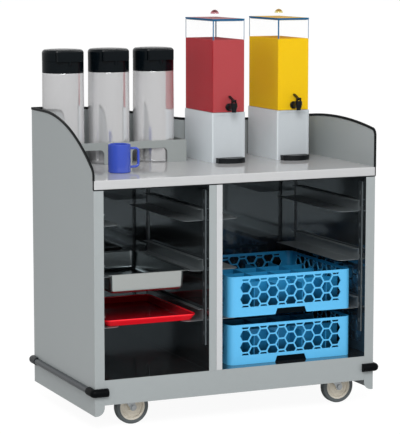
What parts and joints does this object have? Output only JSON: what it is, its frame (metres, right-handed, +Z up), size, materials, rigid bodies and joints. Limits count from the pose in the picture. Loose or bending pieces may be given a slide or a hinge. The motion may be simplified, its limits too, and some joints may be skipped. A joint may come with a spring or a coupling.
{
  "type": "hydration cart",
  "caption": "Open two-bay cart on swivel casters with a curved guard round its worktop, carrying airpots, drink dispensers, a mug, a pan, a tray and glass racks.",
  "frame": {"origin": "on the ground under the middle of the cart", "axes": "+X to the cart's right, +Y to its back, +Z up"},
  "size_m": [1.152, 0.685, 1.466],
  "materials": {
    "side_sheet": "satin light grey",
    "worktop_steel": "bright satin steel",
    "liner_steel": "polished steel in shade",
    "bright_trim": "bright polished strip",
    "edge_trim": "black extruded edging",
    "corral_sheet": "satin grey",
    "bumper_grey": "dark grey vinyl",
    "bumper_black": "black moulded rubber",
    "slide_steel": "satin steel",
    "zinc_plate": "zinc plated",
    "tyre_grey": "non-marking grey tread",
    "wheel_cream": "moulded nylon",
    "pot_steel": "polished steel",
    "pot_black": "black moulded plastic",
    "base_grey": "satin light grey",
    "clear_tank": "clear acrylic",
    "drink_red": "clear red drink",
    "drink_yellow": "cloudy yellow drink",
    "spigot_black": "black moulded plastic",
    "mug_blue": "glazed blue",
    "pan_steel": "satin steel",
    "tray_red": "textured red",
    "rack_blue": "moulded blue"
  },
  "bodies": {
    "cart": {"side_panel_left": "side_sheet", "side_panel_right": "side_sheet", "side_liners": "liner_steel", "back_panel": "side_sheet", "cabinet_floor": "liner_steel", "front_rail": "side_sheet", "centre_divider": "side_sheet", "centre_post_trim": "bright_trim", "worktop": "worktop_steel", "guard_edge_trim": "edge_trim", "bumper_rails": "bumper_grey", "bumper_end_caps": "bumper_black", "slide_uprights": "slide_steel", "tray_slides": "slide_steel", "caster_mounts": "zinc_plate", "airpot_corral": "corral_sheet"},
    "caster_front_left": {"caster_fork_front_left": "zinc_plate"},
    "wheel_front_left": {"caster_tyre_front_left": "tyre_grey", "caster_wheel_front_left": "wheel_cream"},
    "caster_front_right": {"caster_fork_front_right": "zinc_plate"},
    "wheel_front_right": {"caster_tyre_front_right": "tyre_grey", "caster_wheel_front_right": "wheel_cream"},
    "caster_rear_left": {"caster_fork_rear_left": "zinc_plate"},
    "wheel_rear_left": {"caster_tyre_rear_left": "tyre_grey", "caster_wheel_rear_left": "wheel_cream"},
    "brake_rear_left": {"brake_pedal_rear_left": "zinc_plate"},
    "caster_rear_right": {"caster_fork_rear_right": "zinc_plate"},
    "wheel_rear_right": {"caster_tyre_rear_right": "tyre_grey", "caster_wheel_rear_right": "wheel_cream"},
    "brake_rear_right": {"brake_pedal_rear_right": "zinc_plate"},
    "airpot_1": {"airpot_body_1": "pot_steel"},
    "pump_head_1": {"airpot_head_1": "pot_black"},
    "pump_button_1": {"airpot_button_1": "pot_black"},
    "airpot_2": {"airpot_body_2": "pot_steel"},
    "pump_head_2": {"airpot_head_2": "pot_black"},
    "pump_button_2": {"airpot_button_2": "pot_black"},
    "airpot_3": {"airpot_body_3": "pot_steel"},
    "pump_head_3": {"airpot_head_3": "pot_black"},
    "pump_button_3": {"airpot_button_3": "pot_black"},
    "dispenser_left": {"dispenser_base_left": "base_grey", "dispenser_tank_left": "clear_tank", "drink_left": "drink_red", "spigot_left": "spigot_black"},
    "lid_left": {"dispenser_lid_left": "clear_tank"},
    "lever_left": {"spigot_lever_left": "spigot_black"},
    "drip_left": {"drip_tray_left": "spigot_black"},
    "dispenser_right": {"dispenser_base_right": "base_grey", "dispenser_tank_right": "clear_tank", "drink_right": "drink_yellow", "spigot_right": "spigot_black"},
    "lid_right": {"dispenser_lid_right": "clear_tank"},
    "lever_right": {"spigot_lever_right": "spigot_black"},
    "drip_right": {"drip_tray_right": "spigot_black"},
    "mug": {"mug": "mug_blue"},
    "pan": {"steel_pan": "pan_steel"},
    "tray": {"serving_tray": "tray_red"},
    "rack_lower": {"glass_rack_lower": "rack_blue", "rack_cells_lower": "rack_blue"},
    "rack_upper": {"glass_rack_upper": "rack_blue", "rack_cells_upper": "rack_blue"}
  },
  "joints": [
    {"name": "swivel_front_left", "type": "hinge", "parent": "cart", "child": "caster_front_left", "pos_m": [-0.4175, -0.225, 0.143], "axis": [0, 0, 1], "continuous": true},
    {"name": "roll_front_left", "type": "hinge", "parent": "caster_front_left", "child": "wheel_front_left", "pos_m": [-0.3805, -0.225, 0.0625], "axis": [0, 1, 0], "continuous": true},
    {"name": "swivel_front_right", "type": "hinge", "parent": "cart", "child": "caster_front_right", "pos_m": [0.4175, -0.225, 0.143], "axis": [0, 0, 1], "continuous": true},
    {"name": "roll_front_right", "type": "hinge", "parent": "caster_front_right", "child": "wheel_front_right", "pos_m": [0.4545, -0.225, 0.0625], "axis": [0, 1, 0], "continuous": true},
    {"name": "swivel_rear_left", "type": "hinge", "parent": "cart", "child": "caster_rear_left", "pos_m": [-0.4175, 0.225, 0.143], "axis": [0, 0, 1], "continuous": true},
    {"name": "roll_rear_left", "type": "hinge", "parent": "caster_rear_left", "child": "wheel_rear_left", "pos_m": [-0.3805, 0.225, 0.0625], "axis": [0, 1, 0], "continuous": true},
    {"name": "brake_press_rear_left", "type": "hinge", "parent": "caster_rear_left", "child": "brake_rear_left", "pos_m": [-0.34753, 0.225, 0.12197], "axis": [0, 1, 0], "range_deg": [0, 14]},
    {"name": "swivel_rear_right", "type": "hinge", "parent": "cart", "child": "caster_rear_right", "pos_m": [0.4175, 0.225, 0.143], "axis": [0, 0, 1], "continuous": true},
    {"name": "roll_rear_right", "type": "hinge", "parent": "caster_rear_right", "child": "wheel_rear_right", "pos_m": [0.4545, 0.225, 0.0625], "axis": [0, 1, 0], "continuous": true},
    {"name": "brake_press_rear_right", "type": "hinge", "parent": "caster_rear_right", "child": "brake_rear_right", "pos_m": [0.48747, 0.225, 0.12197], "axis": [0, 1, 0], "range_deg": [0, 14]},
    {"name": "airpot_lift_1", "type": "slide", "parent": "cart", "child": "airpot_1", "axis": [0, 0, 1], "range_m": [0, 0.15]},
    {"name": "pump_head_lift_1", "type": "slide", "parent": "airpot_1", "child": "pump_head_1", "axis": [0, 0, 1], "range_m": [0, 0.34]},
    {"name": "pump_button_press_1", "type": "slide", "parent": "pump_head_1", "child": "pump_button_1", "axis": [0, 0, -1], "range_m": [0, 0.025], "stiffness_N_per_m": 400, "springref_m": -0.01},
    {"name": "airpot_lift_2", "type": "slide", "parent": "cart", "child": "airpot_2", "axis": [0, 0, 1], "range_m": [0, 0.15]},
    {"name": "pump_head_lift_2", "type": "slide", "parent": "airpot_2", "child": "pump_head_2", "axis": [0, 0, 1], "range_m": [0, 0.34]},
    {"name": "pump_button_press_2", "type": "slide", "parent": "pump_head_2", "child": "pump_button_2", "axis": [0, 0, -1], "range_m": [0, 0.025], "stiffness_N_per_m": 400, "springref_m": -0.01},
    {"name": "airpot_lift_3", "type": "slide", "parent": "cart", "child": "airpot_3", "axis": [0, 0, 1], "range_m": [0, 0.15]},
    {"name": "pump_head_lift_3", "type": "slide", "parent": "airpot_3", "child": "pump_head_3", "axis": [0, 0, 1], "range_m": [0, 0.34]},
    {"name": "pump_button_press_3", "type": "slide", "parent": "pump_head_3", "child": "pump_button_3", "axis": [0, 0, -1], "range_m": [0, 0.025], "stiffness_N_per_m": 400, "springref_m": -0.01},
    {"name": "dispenser_lift_left", "type": "slide", "parent": "cart", "child": "dispenser_left", "axis": [0, 0, 1], "range_m": [0, 0.15]},
    {"name": "lid_lift_left", "type": "slide", "parent": "dispenser_left", "child": "lid_left", "axis": [0, 0, 1], "range_m": [0, 0.1]},
    {"name": "lever_tilt_left", "type": "hinge", "parent": "dispenser_left", "child": "lever_left", "pos_m": [0.1285, -0.003, 1.13], "axis": [1, 0, 0], "range_deg": [0, 60]},
    {"name": "drip_tray_slide_left", "type": "slide", "parent": "cart", "child": "drip_left", "axis": [0, -1, 0], "range_m": [0, 0.15]},
    {"name": "dispenser_lift_right", "type": "slide", "parent": "cart", "child": "dispenser_right", "axis": [0, 0, 1], "range_m": [0, 0.15]},
    {"name": "lid_lift_right", "type": "slide", "parent": "dispenser_right", "child": "lid_right", "axis": [0, 0, 1], "range_m": [0, 0.1]},
    {"name": "lever_tilt_right", "type": "hinge", "parent": "dispenser_right", "child": "lever_right", "pos_m": [0.399, -0.003, 1.13], "axis": [1, 0, 0], "range_deg": [0, 60]},
    {"name": "drip_tray_slide_right", "type": "slide", "parent": "cart", "child": "drip_right", "axis": [0, -1, 0], "range_m": [0, 0.15]},
    {"name": "mug_lift", "type": "slide", "parent": "cart", "child": "mug", "axis": [0, 0, 1], "range_m": [0, 0.2]},
    {"name": "pan_slide", "type": "slide", "parent": "cart", "child": "pan", "axis": [0, -1, 0], "range_m": [0, 0.45]},
    {"name": "tray_slide", "type": "slide", "parent": "cart", "child": "tray", "axis": [0, -1, 0], "range_m": [0, 0.4]},
    {"name": "rack_slide_lower", "type": "slide", "parent": "cart", "child": "rack_lower", "axis": [0, -1, 0], "range_m": [0, 0.45]},
    {"name": "rack_slide_upper", "type": "slide", "parent": "cart", "child": "rack_upper", "axis": [0, -1, 0], "range_m": [0, 0.45]}
  ]
}
